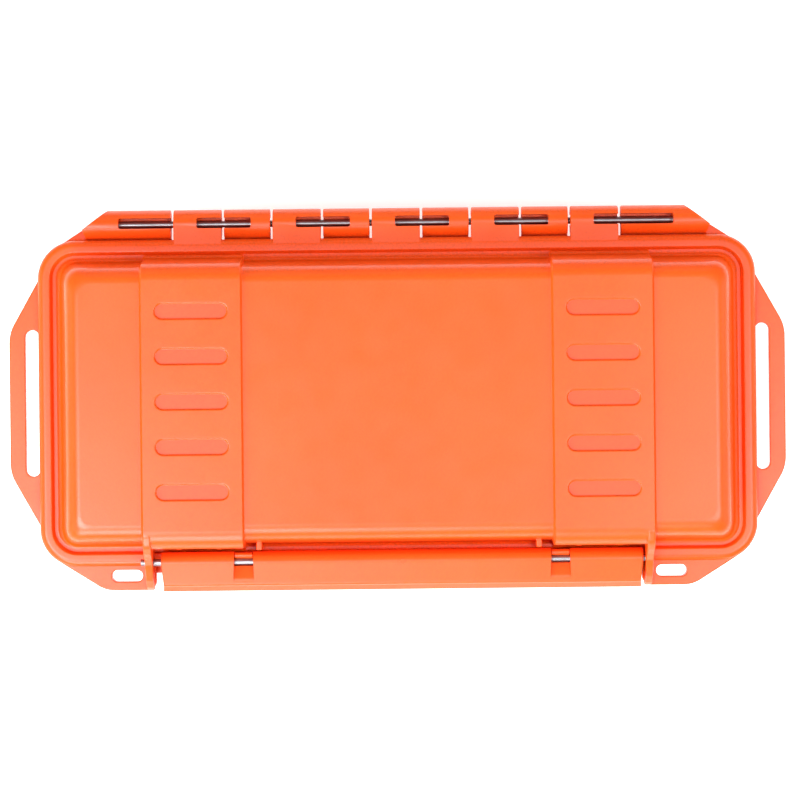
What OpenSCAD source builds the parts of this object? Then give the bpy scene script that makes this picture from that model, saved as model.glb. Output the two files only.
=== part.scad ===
// Waterproof hard-case first aid kit: a ribbed clamshell case with a piano hinge,
// a full-width latch, two strap loops and a foam tray that holds the contents.
// Millimetres. X runs along the case, +Y points to the hinge, +Z points up.
// The origin is under the middle of the case, on the surface that it stands on.

/* [Case] */
// Length of the rim where lid and base meet
rim_len = 207.6; // [206:0.2:210]
// Distance from the origin to the front edge of the rim
rim_front = 47.4; // [47.2:0.1:47.6]
// Distance from the origin to the hinge edge of the rim
rim_rear = 46.9; // [46.7:0.1:46.9]
// Corner radius of the rim
corner_r = 11; // [10.5:0.25:12]
// Height of the whole case
case_h = 49; // [48.5:0.25:51]
// Height of the parting plane
part_z = 28; // [27.5:0.25:28.5]
// Wall thickness of both shells
wall = 2.2; // [1.8:0.1:2.4]
// How far the bands stand proud of the shells
band_proud = 1; // [0.6:0.1:1.4]

/* [Bands] */
// Distance of each band's middle from the middle of the case
band_x = 58.7; // [57:0.1:60]
// Width of a band
band_w = 28.8; // [26:0.2:29]
// Length of one grip recess
recess_l = 21; // [16:0.5:23]
// Width of one grip recess
recess_w = 4.7; // [3:0.1:6]
// Depth of one grip recess
recess_depth = 0.6; // [0.3:0.1:0.8]
// Spacing of the grip recesses
recess_pitch = 12.9; // [11:0.1:14]

/* [Hinge] */
// Distance from the origin to the hinge axis
hinge_y = 51.4; // [51.4:0.1:51.8]
// Radius of a hinge knuckle
knuckle_r = 4.2; // [3.6:0.1:4.2]
// Width of a lid knuckle
lid_knuckle_w = 13.9; // [12:0.1:14]
// Width of an inner base knuckle
base_knuckle_w = 13.4; // [12:0.1:13.6]
// Radius of the steel pins
pin_r = 1; // [0.8:0.05:1.1]
// Radial running clearance round the pins
pin_gap = 0.05; // [0.02:0.01:0.1]

/* [Latch] */
// Length of the latch bar
latch_len = 138.8; // [136:0.2:139.2]
// Sideways place of the latch bar on its pin
latch_shift = 0.8; // [0.5:0.1:0.8]
// Distance from the origin to the latch pin
latch_y = 46.2; // [46.1:0.1:46.3]
// Height of the latch pin over the parting plane
latch_rise = 7.6; // [7.4:0.1:7.8]
// Radius of the latch bar's round back edge
latch_r = 2.95; // [2.9:0.05:3.1]
// Distance of each pin cradle from the latch's middle
cradle_x = 45.6; // [40:0.2:46]
// Width of a pin cradle
cradle_w = 5; // [3:0.1:5.2]

/* [Straps] */
// Length of the webbing slot in each strap loop
strap_slot_l = 42.5; // [38:0.5:43]
// Width of the webbing slot
strap_slot_w = 4.1; // [3:0.1:4.4]
// Length of each cord slot in the front lugs
lug_slot_l = 9; // [7:0.2:9.6]
// Width of each cord slot
lug_slot_w = 3.4; // [3:0.1:3.8]

/* [Contents] */
// Top of the foam tray
tray_top = 28.6; // [26:0.1:28.6]
// Floor of the deep pockets in the foam tray
pocket_floor = 5.5; // [5:0.1:5.6]
// Length of both bandage rolls
roll_l = 66; // [60:1:66]
// Radius of the crepe bandage roll
crepe_r = 16; // [14:0.5:16]
// Radius of the gauze roll
gauze_r = 13; // [10:0.5:13]
// Radius of the tape roll
tape_r = 21; // [17:0.5:21]

/* [Hidden] */
$fn = 64;

SHELL = [1.0, 0.42, 0.2];
STEEL = [0.72, 0.73, 0.75];
half_x = rim_len / 2;
eps = 0.01;
base_top = part_z - 0.1;

// Lid section, measured inwards from the rim edge
edge_h = 2.2;
bead_h = 4;
bead_in = 3.4;
channel_floor = 2.6;
ledge_in = 5.4;
ledge_h = 3;
dome_foot = 6.9;
lid_draft = 7;
band_foot = 4.4;
lid_top = case_h - band_proud;

// Base section, measured inwards from the rim edge
flange_h = 3.9;
tub_in = 5;
base_draft = 3;
base_bottom = band_proud;

// Seal between the halves
seal_mid = 2.9;
seal_groove_w = 2.4;
seal_groove_depth = 2.4;
seal_w = 2.2;
seal_h = 1.4;
tongue_w = 1.4;
tongue_h = 0.6;

// Hinge layout: lid knuckles sit at whole steps, inner base knuckles half a step between
knuckle_step = 28.7;
end_knuckle_in = 65.1;
end_knuckle_out = 90.7;
window_w = 2.7;
hinge_pin_half = 82.5;

// Latch, ears and rail
latch_z = part_z + latch_rise;
ear_in = 70.9;
ear_out = 73.6;
lug_front = 54.4;
lug_in = 70.4;
lug_thick = 2.5;
notch_w = 5.4;
catch_top = part_z - 1;
catch_bottom = part_z - 5;
catch_front = 49.6;
lug_slot = [78.75, -50.2];

// Scissors
scissors_at = [40, -1];
scissors_z = 29.2;
blade_t = 1.4;
blade_gap = 0.1;

function arc(centre, r, from, to, steps = 6) = [
    for (i = [0 : steps])
        let (a = from + (to - from) * i / steps)
        centre + r * [cos(a), sin(a)]
];

// Radius of the shell edge that joins a drafted wall to a flat face above or below it
function edge_radius(foot, draft, height) =
    (corner_r - foot - tan(draft) * height) / (cos(draft) - tan(draft) * (1 - sin(draft)));

lid_edge_r = edge_radius(dome_foot, lid_draft, lid_top - part_z - ledge_h);
base_edge_r = edge_radius(tub_in, base_draft, base_top - flange_h - base_bottom);

// Outline of a rectangle with round corners
function rounded(x0, x1, y0, y1, r) = concat(
    arc([x1 - r, y1 - r], r, 0, 90), arc([x0 + r, y1 - r], r, 90, 180),
    arc([x0 + r, y0 + r], r, 180, 270), arc([x1 - r, y0 + r], r, 270, 360)
);

// ---- helpers ----

module plate(points, z0, z1) {
    translate([0, 0, z0]) linear_extrude(z1 - z0) polygon(points);
}

// A [y, z] outline drawn out along X
module along_x(points, x0, x1) {
    translate([x0, 0, 0]) rotate([90, 0, 90]) linear_extrude(x1 - x0) polygon(points);
}

module rod_x(r, x0, x1, at) {
    translate([x0, at[0], at[1]]) rotate([0, 90, 0]) cylinder(r = r, h = x1 - x0);
}

module stadium(length, width, height) {
    run = length - width;
    translate([-run / 2, -width / 2, 0]) cube([run, width, height]);
    for (side = [-1, 1]) translate([side * run / 2, 0, 0]) cylinder(d = width, h = height);
}

// Sweeps a section, drawn as [distance in from the rim edge, height], round the rim outline
module round_rim() {
    run_x = rim_len - 2 * corner_r;
    run_y = rim_front + rim_rear - 2 * corner_r;
    mid_y = (rim_rear - rim_front) / 2;
    corners = [[1, 1, 0], [-1, 1, 90], [-1, -1, 180], [1, -1, 270]];
    for (c = corners)
        translate([c[0] * run_x / 2, mid_y + c[1] * run_y / 2, 0]) rotate([0, 0, c[2]])
            rotate_extrude(angle = 90) translate([corner_r, 0]) mirror([1, 0]) children();
    for (turn = [0, 180])
        translate([0, mid_y, 0]) rotate([0, 0, turn])
            translate([half_x, run_y / 2, 0]) rotate([90, 0, 0])
                linear_extrude(run_y) mirror([1, 0]) children();
    for (turn = [90, 270])
        translate([0, mid_y, 0]) rotate([0, 0, turn])
            translate([run_y / 2 + corner_r, run_x / 2, 0]) rotate([90, 0, 0])
                linear_extrude(run_x) mirror([1, 0]) children();
}

// Flat middle of a shell, inside the swept section
module shell_middle(z0) {
    translate([-half_x + corner_r, -rim_front + corner_r, z0])
        cube([rim_len - 2 * corner_r, rim_front + rim_rear - 2 * corner_r, wall]);
}

// Both bands of one shell: a [y, z] outline cut by the grip recesses, whose tools start at recess_z
module bands(points, recess_z) {
    for (side = [-1, 1])
        difference() {
            along_x(points, side * band_x - band_w / 2, side * band_x + band_w / 2);
            for (i = [-2 : 2])
                translate([side * band_x, i * recess_pitch, recess_z])
                    stadium(recess_l, recess_w, recess_depth + 1);
        }
}

// Outline of a front corner lug on the +X side
lug_outline = concat(
    [[lug_in, -46]],
    arc([lug_in + 2.5, -lug_front + 2.5], 2.5, 180, 270),
    arc([84.1, -lug_front + 5.5], 5.5, 270, 306),
    [[99.3, -44.3], [94.5, -45.8]]
);

module lugs(z0, z1) {
    for (side = [0, 1])
        mirror([side, 0, 0])
            difference() {
                plate(lug_outline, z0, z1);
                translate([lug_slot[0], lug_slot[1], z0 - 1])
                    stadium(lug_slot_l, lug_slot_w, z1 - z0 + 2);
            }
}

// ---- base ----

module base_section() {
    r = base_edge_r;
    low = [corner_r, base_bottom + r];
    polygon(concat(
        [[0, base_top], [0, base_top - flange_h], [tub_in, base_top - flange_h]],
        arc(low, r, 180 + base_draft, 270),
        arc(low, r - wall, 270, 180 + base_draft),
        [[tub_in + wall, base_top],
         [seal_mid + tongue_w / 2, base_top], [seal_mid + tongue_w / 2, base_top + tongue_h],
         [seal_mid - tongue_w / 2, base_top + tongue_h], [seal_mid - tongue_w / 2, base_top]]
    ));
}

base_band = let (
    r = base_edge_r + band_proud, front = -rim_front + corner_r, rear = rim_rear - corner_r,
    mid = base_bottom + base_edge_r, foot = base_top - flange_h, skin = band_proud + wall / 2
) concat(
    [[-rim_front + tub_in - band_proud - 0.2, foot]],
    arc([front, mid], r, 180 + base_draft, 270), arc([rear, mid], r, 270, 360 - base_draft),
    [[rim_rear - tub_in + band_proud + 0.2, foot], [rim_rear - tub_in - wall / 2, foot]],
    arc([rear, mid], r - skin, 360 - base_draft, 270),
    arc([front, mid], r - skin, 270, 180 + base_draft),
    [[-rim_front + tub_in + wall / 2, foot]]
);

// Strap loop outline on the +X side; the slot is cut afterwards
loop_outline = let (out = 112.5, bend = 11.2, flat = 17.5) concat(
    [[half_x - 3, -36.9], [half_x, -35.8]],
    arc([out - bend, -flat], bend, -28.3, 0),
    arc([out - bend, flat], bend, 0, 28.3),
    [[half_x, 35.8], [half_x - 3, 36.9]]
);

module strap_loops() {
    for (side = [0, 1])
        mirror([side, 0, 0])
            difference() {
                plate(loop_outline, part_z - 3.3, part_z - 0.3);
                translate([half_x + strap_slot_w / 2, 0, part_z - 5]) rotate([0, 0, 90])
                    stadium(strap_slot_l, strap_slot_w, 6);
            }
}

// Plate that braces each outer base knuckle against the rim
knuckle_brace = [
    [80, 44.5], [97.2, 44.5], [96.9, 46.2], [end_knuckle_out, 50.1], [83.4, 55.6], [80, 55.6]
];

module base_knuckles() {
    for (i = [-2 : 1])
        base_knuckle((i + 0.5) * knuckle_step - base_knuckle_w / 2,
                     (i + 0.5) * knuckle_step + base_knuckle_w / 2);
    for (side = [0, 1])
        mirror([side, 0, 0]) {
            difference() {
                base_knuckle(end_knuckle_in, end_knuckle_out);
                translate([83.4, 55.6, part_z - 10]) rotate([0, 0, -37]) cube([20, 10, 20]);
            }
            plate(knuckle_brace, base_top - flange_h, base_top);
        }
}

// A round knuckle with an arm to the rim between heights arm_z0 and arm_z1
module knuckle(x0, x1, arm_z0, arm_z1) {
    rod_x(knuckle_r, x0, x1, [hinge_y, part_z]);
    translate([x0, rim_rear - 1.5, arm_z0])
        cube([x1 - x0, hinge_y - rim_rear + 1.5, arm_z1 - arm_z0]);
}

module lid_knuckle(x0, x1) {
    knuckle(x0, x1, part_z, part_z + bead_h);
}

module base_knuckle(x0, x1) {
    knuckle(x0, x1, base_top - flange_h, base_top);
}

// Slot that opens a knuckle down to the pin, from above
module top_window(x0, x1) {
    translate([x0, hinge_y - window_w / 2, part_z]) cube([x1 - x0, window_w, 6]);
}

// The same from below
module bottom_window(x0, x1) {
    translate([x0, hinge_y - window_w / 2, part_z - 6]) cube([x1 - x0, window_w, 6]);
}

module base_shell() {
    color(SHELL) difference() {
        union() {
            round_rim() base_section();
            shell_middle(base_bottom);
            bands(base_band, -1);
            strap_loops();
            lugs(base_top - lug_thick, base_top);
            base_knuckles();
            translate([-ear_in, -catch_front, catch_bottom])
                cube([2 * ear_in, catch_front - rim_front + 2, catch_top - catch_bottom]);
        }
        rod_x(pin_r + pin_gap, -hinge_pin_half - 0.5, end_knuckle_out + 1, [hinge_y, part_z]);
        for (i = [-2 : 1]) {
            x0 = (i + 0.5) * knuckle_step - base_knuckle_w / 2;
            top_window(x0 - eps, x0 + 7.8);
            bottom_window(x0 + 8.4, x0 + base_knuckle_w + eps);
        }
        for (side = [-1, 1])
            top_window(side * 72.7 - 7.6 - eps, side * 72.7 + 7.6 + eps);
    }
}

module hinge_pin() {
    color(STEEL) rod_x(pin_r, -hinge_pin_half, hinge_pin_half, [hinge_y, part_z]);
}

// ---- lid ----

module lid_section() {
    r = lid_edge_r;
    high = [corner_r, lid_top - r];
    bead_r = bead_h - edge_h;
    polygon(concat(
        [[0, part_z]],
        arc([bead_r, part_z + edge_h], bead_r, 180, 90),
        [[bead_in, part_z + bead_h], [bead_in + 0.3, part_z + bead_h - 0.2],
         [bead_in + 0.5, part_z + channel_floor], [ledge_in - 0.2, part_z + channel_floor],
         [ledge_in, part_z + ledge_h - 0.1], [dome_foot, part_z + ledge_h]],
        arc(high, r, 180 - lid_draft, 90),
        arc(high, r - wall, 90, 180 - lid_draft),
        [[dome_foot + wall, part_z]]
    ));
}

// Channel under the lid's rim that holds the seal and takes the tongue of the base
module seal_groove() {
    round_rim() translate([seal_mid - seal_groove_w / 2, part_z - 1])
        square([seal_groove_w, seal_groove_depth + 1]);
}

lid_band = let (
    r = lid_edge_r + band_proud, front = -rim_front + corner_r, rear = rim_rear - corner_r,
    mid = lid_top - lid_edge_r, foot = part_z + edge_h, skin = band_proud + wall / 2,
    ledge = part_z + ledge_h + 0.3
) concat(
    [[-rim_front + band_foot, foot], [-rim_front + band_foot + 0.1, ledge - 0.2],
     [-rim_front + dome_foot - 1.1, ledge]],
    arc([front, mid], r, 180 - lid_draft, 90), arc([rear, mid], r, 90, lid_draft),
    [[rim_rear - dome_foot + 1.1, ledge], [rim_rear - band_foot - 0.1, ledge - 0.2],
     [rim_rear - band_foot, foot], [rim_rear - dome_foot - wall / 2, foot]],
    arc([rear, mid], r - skin, lid_draft, 90), arc([front, mid], r - skin, 90, 180 - lid_draft),
    [[-rim_front + dome_foot + wall / 2, foot]]
);

// Side view of the cheek that holds each end of the latch pin, as [y, z]
ear_outline = [
    [-39.3, part_z + 1], [-37.8, part_z + 15.6], [-41.5, part_z + 14.6], [-43.6, part_z + 12.6],
    [-46.2, part_z + 11.2], [-49, part_z + 9.6], [-51.6, part_z + 7.2], [-53.6, part_z + 4.4],
    [-lug_front, part_z + 2.4], [-lug_front, part_z], [-44, part_z]
];

// Side view of the open seat that carries the latch pin, as [y, z] from the pin's axis
cradle_outline = [
    [-1, -latch_rise + 1], [-2.2, -6], [-2.2, -1.6], [-1.4, -0.9], [1, 0.2], [1.15, 1],
    [1.5, 1.5], [2.2, 1.5], [2.6, 1], [2.6, -latch_rise + 1]
];

module pin_cradle(x) {
    translate([0, -latch_y, latch_z])
        along_x(cradle_outline, x - cradle_w / 2, x + cradle_w / 2);
}

module lid_shell() {
    color(SHELL) difference() {
        union() {
            round_rim() lid_section();
            shell_middle(lid_top - wall);
            bands(lid_band, case_h - recess_depth);
            lugs(part_z, part_z + lug_thick);
            for (i = [-2 : 2])
                lid_knuckle(i * knuckle_step - lid_knuckle_w / 2,
                            i * knuckle_step + lid_knuckle_w / 2);
            for (side = [0, 1])
                mirror([side, 0, 0]) {
                    along_x(ear_outline, ear_in, ear_out);
                    for (x = [40.3, 51.8, 63.4])
                        translate([x - 0.8, -42.6, part_z + 1]) cube([1.6, 2.6, 9]);
                }
            for (side = [-1, 1]) pin_cradle(latch_shift + side * cradle_x);
        }
        seal_groove();
        rod_x(pin_r + pin_gap, -knuckle_step * 3, knuckle_step * 3, [hinge_y, part_z]);
        rod_x(pin_r + pin_gap, -ear_out - 1, ear_out + 1, [-latch_y, latch_z]);
        for (i = [-2 : 2]) {
            x1 = i * knuckle_step + lid_knuckle_w / 2;
            top_window(x1 - 7.2, x1 + eps);
            bottom_window(x1 - lid_knuckle_w - eps, x1 - 7.8);
        }
    }
}

module gasket() {
    color([0.16, 0.16, 0.17]) round_rim()
        translate([seal_mid - seal_w / 2, part_z + seal_groove_depth - seal_h])
            square([seal_w, seal_h]);
}

module lid_pad() {
    ceiling = lid_top - wall;
    color([0.22, 0.22, 0.24])
        plate(rounded(-91.4, 91.4, -34.8, 34.4, 3), ceiling - 4.1, ceiling - 0.1);
}

module latch_pin() {
    color(STEEL) rod_x(pin_r, -ear_out - 0.9, ear_out - 0.6, [-latch_y, latch_z]);
}

// ---- latch ----

// Side view of the latch bar, as [y, z]: round back, sloping top, front wall, hook, flared lip
latch_outline = concat(
    arc([-latch_y, latch_z], latch_r, 270, 465, 18),
    arc([-52.2, 36], 1, 105, 180, 4),
    [[-53, 22.5], [-53.6, 19.6], [-55.6, 16.2], [-55.3, 15.5], [-54.5, 15.6],
     [-52.3, 19.4], [-51.6, 20], [-48.8, 20], [-48.4, 20.4], [-48.4, 22.4], [-50.2, 22.4],
     [-50.2, 31.6], [-48.9, 32.9]]
);

// Room for a pin cradle, open at the back; its floor rises from the pin to the top of the bar
latch_notch = [
    [-42, 30], [-42, 41], [-52.4, 41], [-52.4, 37.1], [-47.4, 35.6], [-47.4, 34.9],
    [-49.3, 34.6], [-49.3, 30]
];

module latch_bar() {
    mid = latch_shift;
    color(SHELL) difference() {
        along_x(latch_outline, mid - latch_len / 2, mid + latch_len / 2);
        rod_x(pin_r + pin_gap, -100, 100, [-latch_y, latch_z]);
        for (side = [-1, 1])
            along_x(latch_notch, mid + side * cradle_x - notch_w / 2,
                    mid + side * cradle_x + notch_w / 2);
        for (side = [-1, 1])
            translate([mid + side * (latch_len / 2 + 4.6) - 5, -60, 10])
                cube([10, 20, latch_z - 13]);
    }
}

// ---- tray and contents ----

module pocket(x0, x1, y0, y1, floor_z) {
    plate(rounded(x0, x1, y0, y1, 2.5), floor_z, tray_top + 1);
}

module foam_tray() {
    color([0.22, 0.22, 0.24]) difference() {
        union() {
            plate(rounded(-94.2, 94.2, -37.8, 37.3, 4), 6.6, tray_top);
            plate(rounded(-91.2, 91.2, -34.8, 34.3, 4), base_bottom + wall + 0.2, 6.7);
        }
        pocket(-92, -59, -34.4, 33.8, pocket_floor);
        pocket(-55, -28, -34.4, 33.8, pocket_floor);
        pocket(-24, 12, -34.6, -13.5, 20);
        pocket(16, 90.5, -34.6, -15.5, pocket_floor);
        pocket(24.5, 70, -11.5, 34, pocket_floor);
        pocket(74, 90.5, -11.5, 34, pocket_floor);
        translate([-1.4, 12.5, pocket_floor]) cylinder(r = tape_r + 0.7, h = 30);
    }
}

module roll_y(r, core, x) {
    translate([x, roll_l / 2 - 0.3, pocket_floor + 0.2 + r]) rotate([90, 0, 0]) difference() {
        cylinder(r = r, h = roll_l);
        translate([0, 0, -1]) cylinder(r = core, h = roll_l + 2);
    }
}

module crepe_bandage() {
    color([0.86, 0.76, 0.62]) roll_y(crepe_r, 2.5, -75.5);
}

// Two curved steel clips that hold the end of the crepe bandage
module bandage_clips() {
    color(STEEL) for (y = [-14, 14])
        translate([-75.5, y, pocket_floor + 0.2 + crepe_r]) rotate([90, 0, 0])
            rotate([0, 0, 62]) rotate_extrude(angle = 50)
                translate([crepe_r + 0.05, -2.5]) square([0.5, 5]);
}

module gauze_roll() {
    color([0.95, 0.95, 0.93]) roll_y(gauze_r, 2, -41.5);
}

module tube(r_out, r_in, z0, z1) {
    translate([-1.4, 12.5, z0]) difference() {
        cylinder(r = r_out, h = z1 - z0);
        translate([0, 0, -1]) cylinder(r = r_in, h = z1 - z0 + 2);
    }
}

module tape_core() {
    color([0.93, 0.93, 0.9]) tube(14, 12.6, pocket_floor + 0.2, pocket_floor + 22.2);
}

module adhesive_tape() {
    color([0.95, 0.9, 0.82]) tube(tape_r, 14.05, pocket_floor + 0.6, pocket_floor + 21.8);
}

// A sealed pack: a thin crimped edge round a raised middle
module sealed_pack(x0, x1, y0, y1, z0, thick, edge) {
    plate(rounded(x0, x1, y0, y1, 1.5), z0 + thick / 2 - 0.2, z0 + thick / 2 + 0.2);
    plate(rounded(x0 + edge, x1 - edge, y0 + edge, y1 - edge, 2), z0, z0 + thick);
}

module dressing_pack() {
    color([0.92, 0.95, 0.97]) sealed_pack(25.3, 69.3, -10.7, 33.3, pocket_floor + 0.2, 8.6, 5);
}

module wipe_sachets() {
    color([0.75, 0.85, 0.92]) for (i = [0 : 3])
        sealed_pack(25.3, 69.3, -10.7, 33.3, 14.5 + i * 1.7, 1.6, 4);
}

module glove_pack() {
    color([0.45, 0.6, 0.85]) sealed_pack(25.3, 69.3, -10.7, 33.3, 21.5, 6, 4);
}

module plaster_strips() {
    color([0.93, 0.88, 0.8]) for (i = [0 : 7])
        plate(rounded(17, 89.5, -33.6, -16.5, 1.5), pocket_floor + 0.2 + i * 1.15,
              pocket_floor + 1.3 + i * 1.15);
}

module tweezers() {
    arm = [
        [0, 0], [0, 1.6], [1, 2], [26, 4.6], [52, 5.2], [70, 2.2], [72.4, 0.9], [72, 0.5],
        [69.6, 1], [52, 4], [26, 3.4], [3, 0.6], [2.6, 0]
    ];
    color(STEEL) translate([17, -25, 15.5])
        for (side = [0, 1])
            mirror([0, side, 0]) linear_extrude(8) polygon(arm);
}

// Three closed safety pins, each with a coiled end and a folded steel cap
module safety_pins() {
    wire = 0.5;
    color(STEEL) for (y = [-30.5, -24, -17.5])
        translate([-20, y, 21.4]) {
            for (side = [-1, 1])
                translate([0, side * 1.8, 0]) rotate([0, 90, 0]) cylinder(r = wire, h = 24);
            rotate_extrude() translate([1.8, 0]) circle(r = wire + 0.05, $fn = 24);
            translate([23.5, -3, -1.1]) cube([5.5, 6, 2.2]);
        }
}

// One scissor half seen from above, pivot at the origin and tip on +X; its tang is at -X
blade_outline = [
    [46, 0.2], [44, 1.6], [20, 4.6], [2, 5.2], [-5, 4.4], [-12, 0.8], [-19, -3.4], [-25, -5.8],
    [-27.8, -6.4], [-27.8, -9.2], [-25, -8.9], [-18, -6.8], [-10, -3.8], [-3, -4.6], [3, -3.8],
    [8, -1], [44, -0.6]
];

module scissor_place(mirrored, z) {
    translate([scissors_at[0], scissors_at[1], z]) mirror([0, mirrored, 0]) children();
}

module scissor_blade(mirrored, z) {
    scissor_place(mirrored, z) difference() {
        linear_extrude(blade_t) polygon(blade_outline);
        translate([0, 0, -1]) cylinder(r = 2.05, h = blade_t + 2);
    }
}

// Finger loop moulded round the tang
module scissor_handle(mirrored, z) {
    difference() {
        scissor_place(mirrored, 28.9) {
            translate([-36, -11, 0]) stadium(24, 17.4, 4.2);
        }
        scissor_place(mirrored, 27) translate([-36.8, -11, 0]) stadium(17.4, 11.4, 8);
        scissor_place(mirrored, z) linear_extrude(blade_t) polygon(blade_outline);
    }
}

module scissors_blade_lower() {
    color(STEEL) scissor_blade(0, scissors_z);
}

module scissors_handle_lower() {
    color([0.15, 0.15, 0.17]) scissor_handle(0, scissors_z);
}

module scissors_blade_upper() {
    color(STEEL) scissor_blade(1, scissors_z + blade_t + blade_gap);
}

module scissors_handle_upper() {
    color([0.15, 0.15, 0.17]) scissor_handle(1, scissors_z + blade_t + blade_gap);
}

module scissors_rivet() {
    top = scissors_z + 2 * blade_t + blade_gap;
    color(STEEL) translate([scissors_at[0], scissors_at[1], 0]) {
        translate([0, 0, scissors_z - 0.5]) cylinder(r = 3, h = 0.45);
        translate([0, 0, scissors_z - 0.2]) cylinder(r = 2, h = top - scissors_z + 0.4);
        translate([0, 0, top + 0.05]) cylinder(r = 3, h = 0.9);
    }
}

base_shell();
hinge_pin();
lid_shell();
gasket();
lid_pad();
latch_pin();
latch_bar();
foam_tray();
crepe_bandage();
bandage_clips();
gauze_roll();
tape_core();
adhesive_tape();
dressing_pack();
wipe_sachets();
glove_pack();
plaster_strips();
tweezers();
safety_pins();
scissors_blade_lower();
scissors_handle_lower();
scissors_rivet();
scissors_blade_upper();
scissors_handle_upper();
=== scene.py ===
"""First aid kit in a waterproof orange case.

Shapes are worked out in millimetres, in the frame's own axes, and become meshes in metres.
"""
import math

import bmesh
import bpy
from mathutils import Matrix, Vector, noise


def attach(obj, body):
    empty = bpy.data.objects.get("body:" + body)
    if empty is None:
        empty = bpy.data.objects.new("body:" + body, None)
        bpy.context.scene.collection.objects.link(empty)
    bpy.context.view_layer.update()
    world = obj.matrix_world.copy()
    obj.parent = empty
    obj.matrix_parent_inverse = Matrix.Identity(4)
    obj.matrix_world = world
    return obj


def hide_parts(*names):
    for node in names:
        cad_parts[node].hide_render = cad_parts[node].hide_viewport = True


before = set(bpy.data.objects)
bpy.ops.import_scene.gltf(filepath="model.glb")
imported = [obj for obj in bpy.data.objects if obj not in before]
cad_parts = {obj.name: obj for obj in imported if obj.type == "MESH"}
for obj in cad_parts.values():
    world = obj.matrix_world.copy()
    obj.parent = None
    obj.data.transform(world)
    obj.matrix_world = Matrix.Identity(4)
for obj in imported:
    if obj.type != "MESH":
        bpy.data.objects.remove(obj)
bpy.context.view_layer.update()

MM = 0.001
MERGE = 2e-7  # in metres: vertices closer than this become one


# ---- outlines

def arc(cx, cy, r, start, end, steps):
    """Points on a circle from angle start to angle end, in degrees, both included."""
    angles = [math.radians(start + (end - start) * i / steps) for i in range(steps + 1)]
    return [(cx + r * math.cos(a), cy + r * math.sin(a)) for a in angles]


def circle(cx, cy, r, steps=36):
    """A closed outline: the last point stops one step short of the first."""
    return arc(cx, cy, r, 0, 360 - 360 / steps, steps - 1)


def fillet(points, radius, steps=4):
    """The closed outline with each corner rounded; radius is one number or one per corner. An
    arc takes up at most share of each side, and straight and folded corners stay."""
    radii = radius if isinstance(radius, list) else [radius] * len(points)
    share, folded, straight = 0.48, 0.02, 1.55
    out = []
    for i, (here, r) in enumerate(zip(points, radii)):
        before = Vector(points[i - 1]) - Vector(here)
        after = Vector(points[(i + 1) % len(points)]) - Vector(here)
        a, b = before.normalized(), after.normalized()
        half = math.acos(max(-1.0, min(1.0, a.dot(b)))) / 2
        if r <= 0 or half < folded or half > straight:
            out.append(tuple(here))
            continue
        reach = min(r / math.tan(half), before.length * share, after.length * share)
        r = reach * math.tan(half)
        centre = Vector(here) + (a + b).normalized() * (r / math.sin(half))
        first, last = Vector(here) + a * reach - centre, Vector(here) + b * reach - centre
        turn = math.atan2(first.x * last.y - first.y * last.x, first.dot(last))
        for k in range(steps + 1):
            t = turn * k / steps
            c, s = math.cos(t), math.sin(t)
            out.append((centre.x + first.x * c - first.y * s, centre.y + first.x * s + first.y * c))
    return out


def rounded(x0, x1, y0, y1, r, steps=5):
    """A rectangle with round corners."""
    return fillet([(x0, y0), (x1, y0), (x1, y1), (x0, y1)], r, steps)


def stadium(cx, cy, length, width, steps=10):
    """A slot outline with round ends that runs along the first axis."""
    run, r = (length - width) / 2, width / 2
    return arc(cx + run, cy, r, -90, 90, steps) + arc(cx - run, cy, r, 90, 270, steps)


def inset(points, distance):
    """The outline moved inwards by distance; a negative distance moves it outwards."""
    area = sum(p[0] * q[1] - q[0] * p[1] for p, q in zip(points, points[1:] + points[:1]))
    sign = 1 if area > 0 else -1
    out = []
    for i, here in enumerate(points):
        before, after = points[i - 1], points[(i + 1) % len(points)]
        n = []
        for p, q in ((before, here), (here, after)):
            dx, dy = q[0] - p[0], q[1] - p[1]
            length = math.hypot(dx, dy) or 1
            n.append((-dy / length * sign, dx / length * sign))
        k = distance / max(0.3, 1 + n[0][0] * n[1][0] + n[0][1] * n[1][1])
        out.append((here[0] + (n[0][0] + n[1][0]) * k, here[1] + (n[0][1] + n[1][1]) * k))
    return out


def on_side(points, side):
    """The outline of a part at the right, reflected for the left where side is -1."""
    return points if side > 0 else [(-x, y) for x, y in reversed(points)]


def smooth(t):
    t = max(0.0, min(1.0, t))
    return t * t * (3 - 2 * t)


def mix(a, b, t):
    return a + (b - a) * t


def spaced(half, steps):
    """Even steps from -half towards half, which is left out."""
    return [-half + 2 * half * k / steps for k in range(steps)]


# ---- solids

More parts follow.
